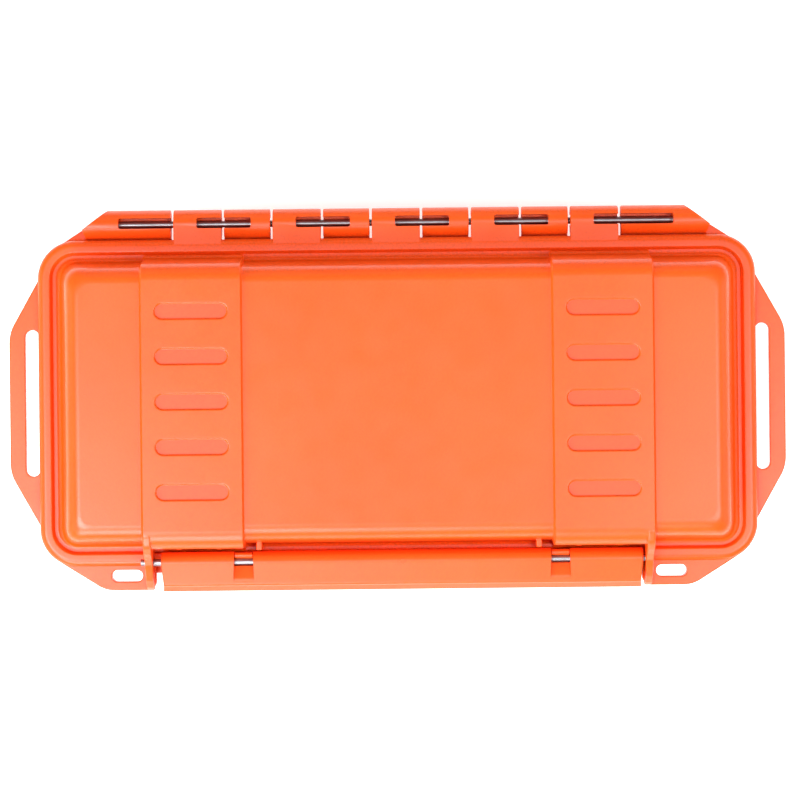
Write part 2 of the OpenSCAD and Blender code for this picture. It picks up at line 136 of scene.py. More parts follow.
class Solid:
    """Vertices in millimetres and faces, gathered before they become a mesh."""

    def __init__(self):
        self.verts = []
        self.faces = []

    def ring(self, points):
        start = len(self.verts)
        self.verts += points
        return list(range(start, start + len(points)))

    def bridge(self, a, b, closed=True):
        for i in range(len(a) if closed else len(a) - 1):
            j = (i + 1) % len(a)
            self.faces.append((a[i], a[j], b[j], b[i]))

    def loft(self, rings, caps=True):
        rows = [self.ring(r) for r in rings]
        for a, b in zip(rows, rows[1:]):
            self.bridge(a, b)
        if caps:
            self.faces += [tuple(rows[0]), tuple(rows[-1])]
        return self

    def grid(self, point, columns, rows):
        """A sheet of point(column, row) places; gives the ring of its border."""
        lines = [self.ring([point(i, j) for i in range(columns + 1)]) for j in range(rows + 1)]
        for low, high in zip(lines, lines[1:]):
            self.bridge(low, high, closed=False)
        border = lines[0][:-1] + [line[-1] for line in lines[:-1]]
        return border + lines[-1][:0:-1] + [line[0] for line in lines[:0:-1]]

    def add(self, other):
        start = len(self.verts)
        self.verts += other.verts
        self.faces += [tuple(start + i for i in f) for f in other.faces]
        return self

    def moved(self, function):
        self.verts = [function(*v) for v in self.verts]
        return self

    def make(self, name):
        mesh = bpy.data.meshes.new(name)
        bm = bmesh.new()
        verts = [bm.verts.new([c * MM for c in v]) for v in self.verts]
        for f in self.faces:
            bm.faces.new([verts[i] for i in f])
        bmesh.ops.remove_doubles(bm, verts=bm.verts, dist=MERGE)
        bmesh.ops.dissolve_degenerate(bm, edges=bm.edges, dist=MERGE)
        bmesh.ops.recalc_face_normals(bm, faces=bm.faces)
        bm.to_mesh(mesh)
        bm.free()
        obj = bpy.data.objects.new(name, mesh)
        bpy.context.scene.collection.objects.link(obj)
        return obj


# Places for a point (u, v) of an outline, at w along the axis that the outline is drawn out on

def on_z(u, v, w):
    return (u, v, w)


def on_x(u, v, w):
    return (w, u, v)


def on_y(u, v, w):
    return (u, w, v)


def prism(points, low, high, edge=0.0, place=on_z, steps=3, edges=(True, True)):
    """An outline drawn out from low to high, with its end edges rounded by edge.
    A negative edge flares the ends, for cutting a hole with a rounded mouth."""
    r, beyond = abs(edge), 1
    quarter = [math.radians(90 * k / steps) for k in range(steps + 1)]
    ends = [(r - r * math.cos(a), edge * (1 - math.sin(a))) for a in quarter] if r else [(0, 0)]
    levels = [(low + h, d) for h, d in ends] if edges[0] else [(low, 0)]
    levels += [(high - h, d) for h, d in reversed(ends)] if edges[1] else [(high, 0)]
    if edge < 0:
        levels = [(low - beyond, edge)] + levels + [(high + beyond, edge)]
    rings = [[place(u, v, w) for u, v in (inset(points, d) if d else points)] for w, d in levels]
    return Solid().loft(rings)


def turned(section, centre, steps):
    """A closed [radius, height] section turned about an upright axis through centre."""
    solid = Solid()
    rows = []
    for k in range(steps):
        a = math.tau * k / steps
        rows.append(solid.ring([(centre[0] + r * math.cos(a), centre[1] + r * math.sin(a), h)
                                for r, h in section]))
    for k, row in enumerate(rows):
        solid.bridge(row, rows[(k + 1) % steps])
    return solid


def rod(r, low, high, centre, chamfer=0.0):
    """A round bar along X; chamfer breaks its end edges."""
    return prism(circle(*centre, r, 32), low, high, chamfer, on_x)


def freeze(obj):
    """Applies obj's modifiers."""
    graph = bpy.context.evaluated_depsgraph_get()
    mesh = bpy.data.meshes.new_from_object(obj.evaluated_get(graph), depsgraph=graph)
    obj.modifiers.clear()
    obj.data = mesh
    return obj


def boolean(target, tool, operation):
    step = target.modifiers.new("boolean", "BOOLEAN")
    step.object = tool
    step.operation = operation
    step.solver = "MANIFOLD"
    freeze(target)
    bpy.data.objects.remove(tool)
    return target


def join(target, *solids):
    for solid in solids:
        boolean(target, solid.make("tool"), "UNION")
    return target


def cut(target, *solids):
    for solid in solids:
        boolean(target, solid.make("tool"), "DIFFERENCE")
    return target


def shade(obj, angle=32, weighted=True):
    """Smooth shading with hard creases over angle, flat faces kept flat."""
    obj.data.shade_smooth()
    obj.data.set_sharp_from_angle(angle=math.radians(angle))
    if weighted:
        step = obj.modifiers.new("flat faces", "WEIGHTED_NORMAL")
        step.keep_sharp = True
        step.weight = 80
        freeze(obj)
    return obj


# ---- materials

class Finish:
    """A new material, with short ways to add the nodes of its surface."""

    def __init__(self, name):
        self.mat = bpy.data.materials.new(name)
        self.mat.use_nodes = True
        self.nodes = self.mat.node_tree.nodes
        self.where = self.coords()

    def plug(self, value, socket):
        """Links another node's output to a socket, or gives the socket a plain value."""
        if isinstance(value, bpy.types.NodeSocket):
            self.mat.node_tree.links.new(value, socket)
        else:
            socket.default_value = value

    def feed(self, node, **inputs):
        """Sets a node's inputs; an underscore in a key stands for a space."""
        for key, value in inputs.items():
            self.plug(value, node.inputs[key.replace("_", " ")])
        return node

    def surface(self, **inputs):
        """Sets the surface's own inputs and gives the finished material."""
        self.feed(self.nodes["Principled BSDF"], **inputs)
        return self.mat

    def add(self, kind, **inputs):
        return self.feed(self.nodes.new("ShaderNode" + kind), **inputs)

    def coords(self, scale=(1, 1, 1)):
        """Object coordinates in metres, stretched by scale."""
        where = self.add("TexCoord").outputs["Object"]
        return self.add("Mapping", Vector=where, Scale=scale).outputs["Vector"]

    def noise(self, scale, detail, **inputs):
        inputs = {"Vector": self.where, "Scale": scale, "Detail": detail} | inputs
        return self.add("TexNoise", **inputs).outputs["Fac"]

    def cells(self, scale):
        return self.add("TexVoronoi", Vector=self.where, Scale=scale).outputs["Distance"]

    def ramp(self, source, low, dark, high, light):
        """Colour dark where the source is low, and light where it is high."""
        node = self.add("ValToRGB", Fac=source)
        for stop, position, colour in zip(node.color_ramp.elements, (low, high), (dark, light)):
            stop.position = position
            stop.color = (*colour, 1)
        return node.outputs["Color"]

    def spread(self, source, low, high):
        """A texture value stretched from 0..1 to low..high."""
        node = self.add("MapRange", Value=source, To_Min=low, To_Max=high)
        return node.outputs["Result"]

    def bump(self, height, distance, strength, under=None):
        node = self.add("Bump", Height=height, Distance=distance, Strength=strength)
        if under is not None:
            self.feed(node, Normal=under)
        return node.outputs["Normal"]

    def blend(self, factor, a, b, mode="MIX"):
        """Two colours, or two textures, laid over each other."""
        node = self.nodes.new("ShaderNodeMix")
        node.data_type = "RGBA"
        node.blend_type = mode
        sockets = [s for s in node.inputs if s.enabled]
        for socket, value in zip(sockets, (factor, a, b), strict=True):
            self.plug(value, socket)
        return [s for s in node.outputs if s.enabled][0]

    def calc(self, operation, *values):
        node = self.nodes.new("ShaderNodeMath")
        node.operation = operation
        for socket, value in zip(node.inputs, values):
            self.plug(value, socket)
        return node.outputs[0]

    def wave(self, source, pitch):
        """A sine of a length, one turn per pitch in metres."""
        return self.calc("SINE", self.calc("MULTIPLY", source, math.tau / pitch))


def grey(v):
    return (v, v, v)


def moulded_plastic(name, colour, deep, roughness=0.4, grain=0.00003, tint=(1, 1, 1), gloss=0.5):
    """Injection-moulded plastic: spark-eroded grain, faint flow shading, tint for its gloss."""
    mat = Finish(name)
    flow = mat.ramp(mat.noise(24, 4, Roughness=0.55), 0.3, deep, 0.7, colour)
    fleck = mat.ramp(mat.noise(1500, 3, Roughness=0.6), 0.35, grey(0.85), 0.65, grey(1.0))
    pits = mat.blend(0.5, mat.cells(1500), mat.noise(3000, 3))
    waves = mat.bump(mat.noise(60, 2), 0.00012, 0.25)
    return mat.surface(Base_Color=mat.blend(1.0, flow, fleck, "MULTIPLY"),
                       Roughness=mat.spread(mat.noise(140, 5), roughness - 0.05, roughness + 0.06),
                       Normal=mat.bump(pits, grain, 0.55, waves),
                       Specular_Tint=(*tint, 1), Specular_IOR_Level=gloss)


def drawn_steel(name, along, tint=(0.62, 0.63, 0.66), roughness=0.24):
    """Bright steel with fine drawing lines; along is small on the axis that they follow."""
    mat = Finish(name)
    lines = mat.noise(3200, 4, Vector=mat.coords(along))
    dull = [c * 0.8 for c in tint]
    return mat.surface(Base_Color=mat.ramp(mat.noise(210, 5), 0.3, dull, 0.65, tint),
                       Roughness=mat.spread(lines, roughness - 0.06, roughness + 0.12),
                       Normal=mat.bump(lines, 0.000004, 0.3), Metallic=1.0)


def woven(name, colour, deep, axis, radius, pitch, depth, along="Y", roughness=0.85):
    """Cloth of crossing threads, wound on a roll whose middle and radius are in millimetres.
    along is the direction that the roll runs in."""
    mat = Finish(name)
    split = mat.add("SeparateXYZ", Vector=mat.where).outputs
    across = mat.calc("SUBTRACT", split["X"], axis[0] * MM)
    up = mat.calc("SUBTRACT", split["Z" if along == "Y" else "Y"], axis[1] * MM)
    lap = mat.calc("MULTIPLY", mat.calc("ARCTAN2", up, across), radius * MM)
    threads = mat.calc("MULTIPLY", mat.wave(lap, pitch), mat.wave(split[along], pitch * 0.8))
    height = mat.calc("ADD", threads, mat.noise(1800, 4))
    # The weave is coloured darker where it lies low: painted shade between the threads.
    weave = mat.ramp(height, 0.1, deep, 0.9, colour)
    soil = mat.ramp(mat.noise(90, 4), 0.3, grey(0.9), 0.7, grey(1.0))
    creases = mat.bump(mat.noise(240, 3), 0.0004, 0.4)
    return mat.surface(Base_Color=mat.blend(1.0, weave, soil, "MULTIPLY"), Roughness=roughness,
                       Normal=mat.bump(height, depth, 0.7, creases),
                       Sheen_Weight=0.25, Specular_IOR_Level=0.2)


def open_foam(name, colour, deep):
    """Cut foam: open cells of two sizes and a faint cloudiness."""
    mat = Finish(name)
    pores = mat.blend(0.4, mat.cells(1100), mat.cells(2530))
    cloud = mat.bump(mat.noise(60, 3), 0.0008, 0.3)
    # The pores are coloured darker than the foam round them: painted shade in the open cells.
    return mat.surface(Base_Color=mat.ramp(pores, 0.05, deep, 0.55, colour), Roughness=0.95,
                       Normal=mat.bump(pores, 0.0004, 0.8, cloud),
                       Sheen_Weight=0.2, Specular_IOR_Level=0.15)


def wrinkled(name, colour, deep, roughness, metallic=0.0, coat=0.0, depth=0.0005, scale=110):
    """Paper, film or foil with creases over fine fibres."""
    mat = Finish(name)
    folds = mat.noise(scale, 6, Roughness=0.6, Distortion=0.8)
    fibres = mat.noise(1700, 4)
    creases = mat.bump(folds, depth, 0.6)
    # Colour is darker where the folds sink: painted shade in the creases; the fibres add random
    # tone.
    return mat.surface(Base_Color=mat.ramp(mat.blend(0.35, folds, fibres), 0.3, deep, 0.62, colour),
                       Roughness=mat.spread(fibres, roughness - 0.08, roughness + 0.1),
                       Normal=mat.bump(fibres, 0.00003, 0.5, creases), Metallic=metallic,
                       Coat_Weight=coat, Coat_Roughness=0.15)


ORANGE = moulded_plastic("orange_shell", (0.97, 0.108, 0.008), (0.96, 0.096, 0.006),
                         roughness=0.31, grain=0.00002, tint=(1.0, 0.82, 0.9), gloss=0.45)
# The recess floors' colour is slightly darker and pinker than the shell's; the pink is a painted
# sheen.
RECESS_PAINTED_SHEEN = moulded_plastic("orange_recess_painted_sheen", (0.93, 0.096, 0.016), (0.92, 0.088, 0.012),
                                roughness=0.42, grain=0.000008, tint=(1.0, 0.8, 1.0), gloss=0.42)
PIN_STEEL = drawn_steel("pin_steel", (0.03, 1, 1), tint=(0.27, 0.27, 0.29), roughness=0.36)


def finish_piece(obj, body, node, slot, *mats):
    """Puts a finished piece on its body in place of its CAD node, with its materials."""
    obj.data.materials.clear()
    for mat in mats:
        obj.data.materials.append(mat)
    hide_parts(node)
    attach(obj, body)
    return obj


# ---- case dimensions

HALF_X = 103.8  # the rim, from the middle to an end
FRONT = -47.4
REAR = 46.9
CORNER = 11.0
PART = 28.0  # height of the parting line
BAND_X = 58.7
BAND_W = 28.8
PROUD = 1.0  # how far a band stands out
RECESS_PITCH = 12.9
RECESS_L = 21.0
RECESS_W = 4.7
RECESS_DEPTH = 0.6
HINGE = (51.4, 28.0)  # Y and Z of the hinge pin's axis
KNUCKLE_R = 4.2
KNUCKLE_STEP = 28.7
LID_KNUCKLE = 13.9
LID_SLOTS = (7.2, 7.8)  # the upper one starts and the lower one ends so far from the right end
BASE_KNUCKLE = 13.4
BASE_SLOTS = (7.8, 8.4)  # the upper one ends and the lower one starts so far from the left end
END_KNUCKLE = (65.1, 80.3)  # X where an outer base knuckle starts, and where its slot ends
PIN_R = 1.0
BORE_R = 1.05
LATCH_PIN = (-46.2, 35.6)
LATCH_SHIFT = 0.8  # the latch bar's middle lies to the right of the case's
LATCH_LEN = 138.6
CRADLE_X = 45.6  # from the latch bar's middle to a seat of its pin
EAR = (70.8, 73.6)  # inner and outer side of a cheek beside the latch bar
LUG_T = 2.5


# ---- shell skins

STEP_HALF = 0.3  # half the width of a band's rounded side step
PATCH_HALF = 13.2  # half the length of the flat patch that holds one recess
PATCH_COLUMNS = 8
PATCH_ROWS = 10
CORNER_STEPS = 14
KEEP_X = 78  # stations beyond this X are drawn in towards the corner


def band_factor(x):
    """0 beside a band, 1 on it, with a rounded step between."""
    inside = BAND_W / 2 - abs(abs(x) - BAND_X)
    return smooth((inside + STEP_HALF) / (2 * STEP_HALF))


def grid_lines():
    """The X and Y lines of the flat of a shell."""
    inner, outer = BAND_X - BAND_W / 2, BAND_X + BAND_W / 2
    steps = [-1, -0.7, -0.4, -0.15, 0.15, 0.4, 0.7, 1]
    half = [0, 8, 16, 24, 32, 39]
    half += [inner + STEP_HALF * s for s in steps]
    half += [BAND_X + x for x in spaced(PATCH_HALF, PATCH_COLUMNS) + [PATCH_HALF]]
    half += [outer + STEP_HALF * s for s in steps]
    half += [KEEP_X, 84, 89]
    xs = sorted({round(s * x, 6) for x in half for s in (-1, 1)})
    reach = 2.5 * RECESS_PITCH
    return xs, [round(y, 6) for y in spaced(reach, 5 * PATCH_ROWS) + [reach]]


def corner_radius(d):
    """Corner radius of the ring that lies d in from the rim: concentric, then slower."""
    inner, slope = 6.4, 0.17
    return max(CORNER - d, inner - slope * d)


def rim_stations(xs, ys):
    """Stations round the rim: a function from distance inwards to a place, the X on a long side,
    and how far the station belongs to the front and to the rear."""
    def squeeze(t, keep, last, limit):
        """Draws the stations beyond keep in, so that the last one meets the corner."""
        if abs(t) <= keep:
            return t
        return math.copysign(mix(keep, limit, (abs(t) - keep) / (last - keep)), t)

    def end(sx, y):
        def place(d):
            reach = d + corner_radius(d)
            limit = (REAR if y > 0 else -FRONT) - reach
            return (sx * (HALF_X - d), squeeze(y, 2 * RECESS_PITCH, ys[-1], min(limit, ys[-1])))
        return place

    def side(x, sy):
        def place(d):
            limit = HALF_X - d - corner_radius(d)
            y = REAR - d if sy > 0 else FRONT + d
            return (squeeze(x, KEEP_X, xs[-1], min(limit, xs[-1])), y)
        return place

    def turned_in(sx, sy, c, s):
        def place(d):
            r = corner_radius(d)
            cy = REAR - d - r if sy > 0 else FRONT + d + r
            return (sx * (HALF_X - d - r) + r * c, cy + r * s)
        return place

    def corner(sx, sy, start):
        return [(turned_in(sx, sy, c, s), None, smooth(max(0, -s)), smooth(max(0, s)))
                for c, s in arc(0, 0, 1, start, start + 90, CORNER_STEPS)]

    out = [(end(1, y), None, 0, 0) for y in ys] + corner(1, 1, 0)
    out += [(side(x, 1), x, 0, 1) for x in reversed(xs)] + corner(-1, 1, 90)
    out += [(end(-1, y), None, 0, 0) for y in reversed(ys)] + corner(-1, -1, 180)
    out += [(side(x, -1), x, 1, 0) for x in xs] + corner(1, -1, 270)
    return out


def pill(grow):
    """Outline of a grip recess round its middle, with as many points as its patch's border."""
    run, r = (RECESS_L - RECESS_W) / 2, RECESS_W / 2 + grow
    across = spaced(run, PATCH_COLUMNS)
    out = [(x, -r) for x in across] + arc(run, 0, r, -90, 90, PATCH_ROWS)[:-1]
    out += [(-x, r) for x in across] + arc(-run, 0, r, 90, 270, PATCH_ROWS)[:-1]
    return out


def recess_patch(solid, cx, cy, flat_z, down):
    """One flat patch of a band with its pill-shaped grip recess; down is -1 on the lid."""
    half_y = RECESS_PITCH / 2
    across, upwards = spaced(PATCH_HALF, PATCH_COLUMNS), spaced(half_y, PATCH_ROWS)
    border = [(x, -half_y) for x in across] + [(PATCH_HALF, y) for y in upwards]
    border += [(-x, half_y) for x in across] + [(-PATCH_HALF, -y) for y in upwards]
    middle = [(mix(a[0], b[0], 0.6), mix(a[1], b[1], 0.6)) for a, b in zip(border, pill(0.3))]
    shapes = [(border, 0.0), (middle, 0.0)]
    shapes += [(pill(grow), depth) for grow, depth in
               [(0.3, 0), (0.14, 0.01), (0.04, 0.06), (0.0, 0.16), (-0.08, 0.44), (-0.13, 0.53),
                (-0.22, 0.58), (-0.36, RECESS_DEPTH)]]
    rows = [solid.ring([(cx + x, cy + y, flat_z + down * depth) for x, y in points])
            for points, depth in shapes]
    for a, b in zip(rows, rows[1:]):
        solid.bridge(a, b)
    solid.faces.append(tuple(rows[-1]))


def shell_flat(solid, xs, ys, flat_z, out_z):
    """The flat of a shell with its bands and recesses; gives its vertices by X and Y."""
    index = {(x, y): solid.ring([(x, y, flat_z + out_z * PROUD * band_factor(x))])[0]
             for x in xs for y in ys}
    for x0, x1 in zip(xs, xs[1:]):
        if abs(abs(x0 + x1) / 2 - BAND_X) < PATCH_HALF:
            continue
        for y0, y1 in zip(ys, ys[1:]):
            solid.faces.append((index[x0, y0], index[x1, y0], index[x1, y1], index[x0, y1]))
    for side in (-1, 1):
        for row in range(-2, 3):
            recess_patch(solid, side * BAND_X, row * RECESS_PITCH, flat_z + out_z * PROUD, -out_z)
    return index


def shell_skin(name, section, flat_z, out_z):
    """A whole shell: section(front, rear, band) is swept round the rim from the edge of the flat,
    over the rim and up the inside. out_z is 1 where the outside of the flat faces up."""
    xs, ys = grid_lines()
    solid = Solid()
    columns = []
    for place, x, front, rear in rim_stations(xs, ys):
        points = section(front, rear, 0.0 if x is None else band_factor(x))
        columns.append(solid.ring([(*place(d), z) for d, z in points]))
    for k, column in enumerate(columns):
        solid.bridge(column, columns[(k + 1) % len(columns)], closed=False)
    solid.faces.append(tuple(column[-1] for column in columns))

    index = shell_flat(solid, xs, ys, flat_z, out_z)
    edge = [column[0] for column in columns]
    sides = [[(xs[-1], y) for y in ys], [(x, ys[-1]) for x in reversed(xs)],
             [(xs[0], y) for y in reversed(ys)], [(x, ys[0]) for x in xs]]
    border = [index[spot] for side in sides for spot in side + side[-1:] * (CORNER_STEPS + 1)]
    for k in range(len(edge)):
        j = (k + 1) % len(edge)
        loop = [edge[k], edge[j], border[j], border[k]]
        solid.faces.append(tuple(dict.fromkeys(loop)))
    return solid.make(name)


LID_TOP = 48.0
WALL_FOOT = 3.6  # height above the parting line at which a wall's foot is measured
WALL_END = 4.8  # height at which a wall runs out into its foot
BASE_LOW = 1.0
FLANGE_LOW = 24.0
BASE_TOP = PART - 0.1
BASE_FLAT = 12.0
BASE_FOOT = 5.0
BASE_DRAFT = 3.0
BASE_LEAN = math.radians(BASE_DRAFT)
BASE_R = ((BASE_FLAT - BASE_FOOT - math.tan(BASE_LEAN) * (FLANGE_LOW - BASE_LOW))
          / (math.cos(BASE_LEAN) - math.tan(BASE_LEAN) * (1 - math.sin(BASE_LEAN))))


def wall_profile(foot, top, radius, height, crown=0.3):
    """Twelve points from a flat at height, round its edge and down a wall to foot, as [distance
    in, height]; top is where the wall would meet the flat's level."""
    slope = (top - foot) / (height - WALL_FOOT)
    lean = math.atan(slope)
    centre_z = height - radius
    centre_d = foot + (centre_z - WALL_FOOT) * slope + radius / math.cos(lean)
    edge = arc(centre_d, centre_z, radius, 90, 180 - math.degrees(lean), 9)
    return [(centre_d + crown, height), *edge, (foot + (WALL_END - WALL_FOOT) * slope, WALL_END)]


# Lid edge profiles: the front is the fullest, and a band stands out from the wall beside it
LID_END = wall_profile(6.9, 9.3, 4.2, 20.0)
LID_REAR = wall_profile(6.5, 8.8, 4.6, 20.0)
LID_FRONT = wall_profile(6.3, 8.0, 4.6, 20.0)
LID_REAR_BAND = wall_profile(5.5, 7.8, 4.8, 21.0)
LID_FRONT_BAND = wall_profile(4.9, 5.5, 5.0, 21.0)


def mix_points(a, b, t):
    return [(mix(p[0], q[0], t), mix(p[1], q[1], t)) for p, q in zip(a, b)]


def lid_section(front, rear, band):
    """[distance in, height] from the edge of the flat, over the rim, to the ceiling."""
    dome = mix_points(mix_points(LID_END, LID_REAR, rear), LID_FRONT, front)
    if band:
        dome = mix_points(dome, LID_FRONT_BAND if front else LID_REAR_BAND, band)
    low = dome[-1][0]
    plain = [(low - 0.27, 3.8), (low - 0.45, 3.4), (low - 0.7, 3.14), (low - 1.0, 3.02),
             (5.95, 2.92), (5.72, 2.86), (5.6, 2.72), (5.5, 2.58), (5.3, 2.47), (5.0, 2.45)]
    foot = [(low - 0.15, 3.9), (low - 0.3, 3.6), (low - 0.5, 3.42), (low - 0.75, 3.32),
            (4.85, 3.2), (4.56, 3.14), (4.44, 3.0), (4.4, 2.86), (4.38, 2.66), (4.36, 2.5)]
    foot = mix_points(plain, foot, band)
    bead = [(4.34, 2.47), (4.18, 2.62), (3.7, 3.72), (3.58, 3.9), (3.42, 3.98), (3.2, 4.0),
            (2.2, 4.0)]
    bead += arc(1.8, 2.2, 1.8, 90, 180, 8)
    bead += [(0, 0.35), (0.09, 0.1), (0.3, 0)]
    seal = [(1.7, 0), (1.7, 2.2), (4.1, 2.2), (4.1, 0)]
    reach = dome[1][0] - LID_END[1][0]
    inside = [(8.4, 0), (8.6, 0.2), (9.1, 2.2), (9.5 + reach * 0.3, 3.8), (13.2 + reach, 17.0),
              (13.5 + reach, 17.5), (14.2 + reach, 17.8)]
    return [(d, PART + h) for d, h in dome + foot + bead + seal + inside]


def base_section(front, rear, s):
    """The same for the base, from its underside over the flange to its inner floor; its edge is
    the same all round."""
    z = BASE_TOP
    r = BASE_R + PROUD * s
    out = PROUD * s
    tub = [(BASE_FLAT + 0.8, BASE_LOW - PROUD * s)]
    tub += [(BASE_FLAT + x, BASE_LOW + BASE_R + y)
            for x, y in arc(0, 0, r, 270, 180 + BASE_DRAFT, 12)]
    foot = [(5.04 - out, 23.1), (4.98 - out, 23.5), (4.8 - out, 23.82), (4.4 - out, FLANGE_LOW)]
    flange = [(0.5, FLANGE_LOW), (0.15, 24.12), (0, 24.45), (0, z - 0.3), (0.09, z - 0.08),
              (0.3, z)]
    tongue = [(2.2, z), (2.26, z + 0.5), (2.4, z + 0.6), (3.4, z + 0.6), (3.54, z + 0.5), (3.6, z)]
    inside = [(7.0, z), (7.2, z - 0.2), (8.3, 7.4), (8.8, 5.2), (10.0, 3.7), (12.0, 3.2)]
    return tub + foot + flange + tongue + inside


# ---- shell details

def knuckle_outline(up):
    """Side view of a hinge knuckle and its arm; up is 1 on the lid and -1 on the base."""
    y, z = HINGE
    if up > 0:
        return arc(y, z, KNUCKLE_R, 90, -180, 27) + [(45.0, 28.05), (45.0, 31.95), (50.6, 32.02)]
    return arc(y, z, KNUCKLE_R, 180, -90, 27) + [(45.0, 24.1), (45.0, 27.85)]


def knuckle(x0, x1, up):
    return prism(knuckle_outline(up), x0, x1, 0.3, on_x)


def window(x0, x1, up, left_open, right_open):
    """Slot past the pin, from above or below, with a round end where it stops short. It is a
    little wider behind the pin."""
    y, z = HINGE
    front, rear, past, beyond = 1.3, 1.75, 1.5, 6
    left, right = (0 if is_open else 0.6 for is_open in (left_open, right_open))
    x0, x1 = x0 - (0.5 if left_open else 0), x1 + (0.5 if right_open else 0)
    plan = fillet([(x0, y - front), (x1, y - front), (x1, y + rear), (x0, y + rear)],
                  [left, right, right, left])
    return prism(plan, z - past, z + beyond) if up > 0 else prism(plan, z - beyond, z + past)


def lug(side, low):
    """The plate of a front lug, and the cutter for its slot."""
    points = [(70.4, -46), (70.4, -54.4), (84.9, -54.4), (98.7, -45.7), (98.1, -45.1),
              (94.5, -45.8)]
    points = on_side(fillet(points, [0, 2.5, 9.0, 0, 0, 0], 8), side)
    slot = stadium(side * 78.75, -50.2, 9.0, 3.4)
    return prism(points, low, low + LUG_T, 0.35), prism(slot, low, low + LUG_T, -0.3)


def ear(side):
    """Cheek beside the latch bar, which holds an end of its pin."""
    outline = [(-38.8, 30.5), (-36.0, 46.5), (-36.0, 48.9), (-38.6, 48.95), (-41.5, 47.9),
               (-43.6, 45.2), (-45.0, 41.8), (-46.8, 39.3), (-49.0, 37.6), (-51.6, 35.2),
               (-53.6, 32.4), (-54.4, 30.2), (-54.4, 28.0), (-45.8, 28.0), (-45.8, 30.5)]
    outline = fillet(outline, [0, 0, 0, 3, 4, 4, 4, 3, 3, 3, 2, 1.4, 0, 0, 0], 3)
    x0, x1 = sorted((side * EAR[0], side * (EAR[1] - 0.5)))
    return prism(outline, x0, x1, 0.45, on_x)


def rib(x, tip):
    """Low rib on the rim behind the latch; tip is where it ends in front."""
    return prism(rounded(x - 0.8, x + 0.8, tip, -39.0, 0.35), 30.6, 36.5, 0.3)


def cradle(x):
    """Open seat under and behind the latch pin."""
    outline = [(-1.2, -4.9), (-2.2, -4.3), (-2.2, -1.6), (-1.4, -0.9), (0, -0.4), (0.9, 0.4),
               (1.2, 1.0), (1.5, 1.45), (2.1, 1.5), (2.6, 1.0), (2.6, -4.9)]
    outline = fillet(outline, [0, 0.5, 0.6, 0.3, 0, 0, 0, 0.2, 0.4, 0.4, 0], 3)
    outline = [(LATCH_PIN[0] + y, LATCH_PIN[1] + z) for y, z in outline]
    return prism(outline, x - 2.55, x + 2.55, 0.1, on_x)


def finish_shell(obj, body, node, recess_z):
    """Smooths a shell; its recess floors get a darker, pinker, rougher copy of its colour, the pink
    a painted sheen.
    """
    finish_piece(shade(obj), body, node, "orange_shell", ORANGE, RECESS_PAINTED_SHEEN)
    for face in obj.data.polygons:
        level = abs(face.normal.z) > 0.99
        at_floor = abs(face.center.z / MM - recess_z) < 0.002
        on_band = abs(abs(face.center.x / MM) - BAND_X) < RECESS_L / 2 + 0.5
        face.material_index = int(level and at_floor and on_band)


def make_lid():
    lid = shell_skin("lid_shell_skin", lid_section, LID_TOP, 1)
    spots = [i * KNUCKLE_STEP for i in range(-2, 3)]
    knuckles, tops, bottoms = Solid(), Solid(), Solid()
    for x in spots:
        x0, x1 = x - LID_KNUCKLE / 2, x + LID_KNUCKLE / 2
        knuckles.add(knuckle(x0, x1, 1))
        tops.add(window(x1 - LID_SLOTS[0], x1, 1, False, True))
        bottoms.add(window(x0, x1 - LID_SLOTS[1], -1, True, False))
    lugs, slots, ears, ribs = (Solid() for _ in range(4))
    for side in (-1, 1):
        plate, slot = lug(side, PART)
        lugs.add(plate)
        slots.add(slot)
        ears.add(ear(side))
        for x, tip in ((40.3, -42.95), (51.8, -42.6), (63.4, -42.6)):
            ribs.add(rib(side * x, tip))
        ribs.add(cradle(LATCH_SHIFT + side * CRADLE_X))
    join(lid, knuckles, lugs, ears, ribs)
    cut(lid, tops, bottoms, slots, rod(BORE_R, -90, 90, HINGE),
        rod(BORE_R, -EAR[1] - 1, EAR[1] + 1, LATCH_PIN))
    finish_shell(lid, "lid", "lid_shell", LID_TOP + PROUD - RECESS_DEPTH)


def end_knuckle(side):
    """Outer base knuckle, cut off at a slant where it meets its brace."""
    solid = prism(knuckle_outline(-1), END_KNUCKLE[0], 97, 0.3, on_x, edges=(True, False))
    (rear_x, rear_y), (bend_x, bend_y) = (83.4, 55.6), (90.8, 50.1)

    def slant(x, y, z):
        limit = min(rear_x + (rear_y - y) * 1.304, bend_x - (bend_y - y) * 0.36)
        return (side * min(x, limit), y, z)

    return solid.moved(slant)


def brace(side):
    points = [(80, 44.5), (97.4, 44.5), (96.9, 46.2), (90.8, 50.1), (83.4, 55.55), (80, 55.55)]
    points = fillet(points, [0, 0, 0.6, 0.3, 0.6, 0])
    return prism(on_side(points, side), 24.05, 27.85, 0.3)


def strap_loop(side):
    """The plate of a strap loop, and the cutter for its slot."""
    bend, out, flat, sweep = 11.2, 112.5, 17.5, 28.3
    low, high = 24.7, 27.7
    points = [(101, -37.2), (103.8, -35.9)]
    points += arc(out - bend, -flat, bend, -sweep, 0, 6) + arc(out - bend, flat, bend, 0, sweep, 6)
    points += [(103.8, 35.9), (101, 37.2)]
    slot = [(v, u) for u, v in stadium(0, 105.85, 42.5, 4.1)]
    return prism(on_side(points, side), low, high, 0.4), prism(on_side(slot, side), low, high, -0.3)


def base_lug(side):
    return lug(side, BASE_TOP - LUG_T)


def catch_rail():
    """Rail under the front of the rim, which the latch hooks under."""
    outline = [(-49.6, 23.0), (-46.0, 23.0), (-46.0, 27.0), (-49.6, 27.0)]
    return prism(fillet(outline, [0.35, 0, 0, 0.5]), -EAR[0], EAR[0], 0.3, on_x)


